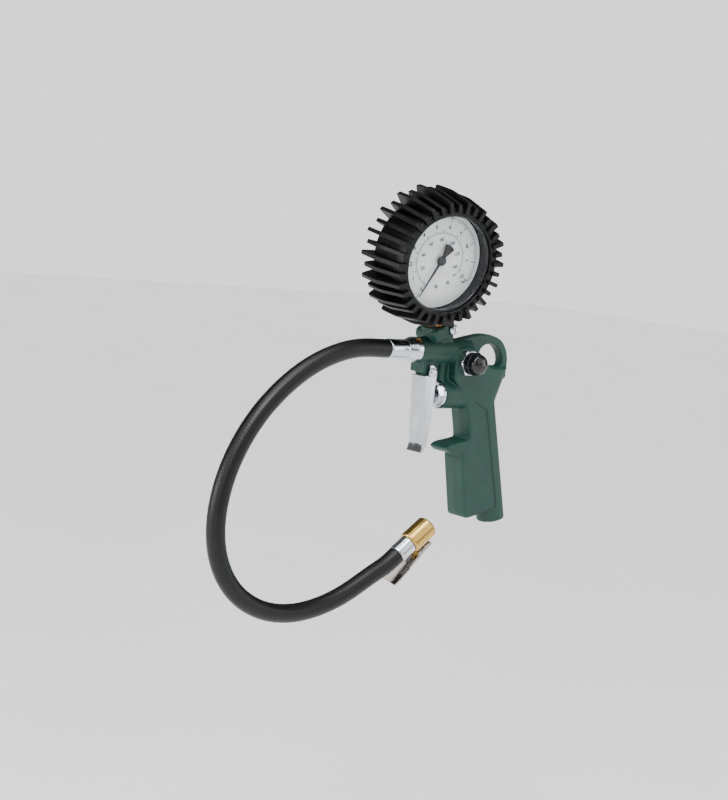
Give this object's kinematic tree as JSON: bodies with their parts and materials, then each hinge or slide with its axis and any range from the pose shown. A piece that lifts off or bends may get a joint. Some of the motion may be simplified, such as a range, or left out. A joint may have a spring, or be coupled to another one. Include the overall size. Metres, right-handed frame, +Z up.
{
  "type": "tyre inflator gun",
  "caption": "Pistol-grip compressed-air tyre inflator with a lever trigger, a rubber-booted round pressure gauge, a short hose and a clip-on tyre chuck.",
  "frame": {"origin": "palm of the hand grip, in the gun's middle plane", "axes": "+Z up along the barrel-to-grip height with the gauge on top, -X the hose and trigger side, -Y the dial side"},
  "size_m": [0.2942, 0.0654, 0.341],
  "materials": {
    "green_powder_coat": "fine-grained dark green powder coat",
    "zinc_plate": "bright zinc plate",
    "chrome_plate": "bright chrome plate",
    "seal_rubber": "smooth black rubber",
    "steel": "drawn steel",
    "black_plastic": "glossy black plastic",
    "window": "clear pane",
    "dial_white": "white enamel print ground",
    "pointer_black": "matte black lacquer",
    "brass": "turned brass",
    "copper": "soft copper washer",
    "boot_rubber": "moulded matte black rubber",
    "hose_rubber": "fabric-wrapped black hose rubber"
  },
  "bodies": {
    "gun": {"gun_body": "green_powder_coat", "trigger_pin": "zinc_plate", "valve_plug": "chrome_plate", "valve_plug_seal": "seal_rubber", "valve_spring": "steel", "vent_nut": "chrome_plate", "vent_bush": "black_plastic", "vent_spring": "steel", "clamp_screw": "chrome_plate", "gauge_case": "black_plastic", "gauge_bezel": "black_plastic", "gauge_window": "window", "gauge_dial": "dial_white", "dial_screw_1": "steel", "dial_screw_2": "steel", "movement_frame": "brass", "bourdon_tube": "brass", "movement_link": "steel", "gauge_socket": "brass", "stem_gasket": "copper", "gauge_boot": "boot_rubber", "hose_fitting": "chrome_plate", "front_ferrule": "chrome_plate", "hose": "hose_rubber", "rear_ferrule": "chrome_plate", "chuck_body": "brass", "chuck_seal": "seal_rubber", "chuck_valve_pin": "brass", "chuck_lever_pin": "steel", "chuck_spring": "steel"},
    "trigger": {"trigger_lever": "zinc_plate"},
    "valve": {"valve_stem": "steel", "valve_seal": "seal_rubber"},
    "vent": {"vent_button": "black_plastic", "vent_pin": "steel"},
    "sector": {"sector_gear": "brass"},
    "pointer": {"gauge_pointer": "pointer_black"},
    "clip_lever": {"chuck_lever": "zinc_plate"}
  },
  "joints": [
    {"name": "trigger_pull", "type": "hinge", "parent": "gun", "child": "trigger", "pos_m": [-0.0599, 0, 0.0703], "axis": [0, -1, 0], "range_deg": [0, 12], "stiffness_Nm_per_rad": 1.5, "springref_deg": -5.73},
    {"name": "valve_stem_slide", "type": "slide", "parent": "gun", "child": "valve", "axis": [1, 0, 0], "range_m": [0, 0.004], "deforming": ["valve_spring"]},
    {"name": "vent_press", "type": "slide", "parent": "gun", "child": "vent", "axis": [0, 1, 0], "range_m": [0, 0.003], "stiffness_N_per_m": 800, "springref_m": -0.002, "deforming": ["vent_spring"]},
    {"name": "sector_turn", "type": "hinge", "parent": "gun", "child": "sector", "pos_m": [-0.06879, -0.00519, 0.14821], "axis": [-0.0932, -0.9819, -0.1646], "range_deg": [0, 33.75], "stiffness_Nm_per_rad": 0.02},
    {"name": "pointer_turn", "type": "hinge", "parent": "gun", "child": "pointer", "pos_m": [-0.07359, -0.00692, 0.16125], "axis": [0.0932, 0.9819, 0.1646], "range_deg": [0, 270]},
    {"name": "chuck_lever_press", "type": "hinge", "parent": "gun", "child": "clip_lever", "pos_m": [-0.04583, 0.0039, -0.07165], "axis": [-0.2039, 0.9397, 0.2746], "range_deg": [0, 14], "stiffness_Nm_per_rad": 0.3, "springref_deg": -5.73, "deforming": ["chuck_spring"]}
  ],
  "couplings": [
    {"joint": "valve_stem_slide", "follows": "trigger_pull", "m_per_rad": 0.0185},
    {"joint": "pointer_turn", "follows": "sector_turn", "ratio": 8}
  ]
}
